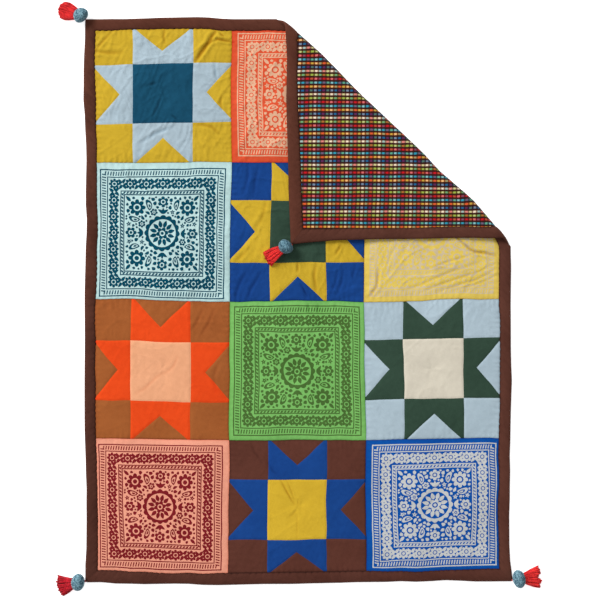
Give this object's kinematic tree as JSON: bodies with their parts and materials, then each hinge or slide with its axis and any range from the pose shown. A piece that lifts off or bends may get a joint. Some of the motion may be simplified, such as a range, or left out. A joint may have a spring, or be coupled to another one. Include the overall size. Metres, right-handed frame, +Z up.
{
  "type": "patchwork quilt",
  "caption": "Padded patchwork quilt with star and printed blocks, a sewn-on binding, and a yarn ball and tassel at each corner, laid flat with one corner folded over.",
  "frame": {"origin": "middle of the whole thing's box, on the surface that it lies on", "axes": "+Y up the quilt towards its top edge, +X to its right, +Z up off the surface, out of the patchwork side"},
  "size_m": [1.3222, 1.6062, 0.0461],
  "materials": {
    "patchwork": "plain-woven cotton patchwork, with a multicolour windowpane check on the back",
    "binding": "plain-woven dark brown cotton, gathered a little along its seam",
    "pompom": "blue-grey wound wool yarn",
    "tassel": "plied red cotton yarn"
  },
  "bodies": {
    "root": {"quilt_body": "patchwork", "binding_bottom": "binding", "binding_left": "binding", "binding_top": "binding", "binding_right": "binding", "pompom_top_left": "pompom", "tassel_top_left": "tassel", "tie_top_left": "tassel", "pompom_bottom_left": "pompom", "tassel_bottom_left": "tassel", "tie_bottom_left": "tassel", "pompom_bottom_right": "pompom", "tassel_bottom_right": "tassel", "tie_bottom_right": "tassel", "pompom_folded": "pompom", "tassel_folded": "tassel", "tie_folded": "tassel"}
  },
  "joints": []
}
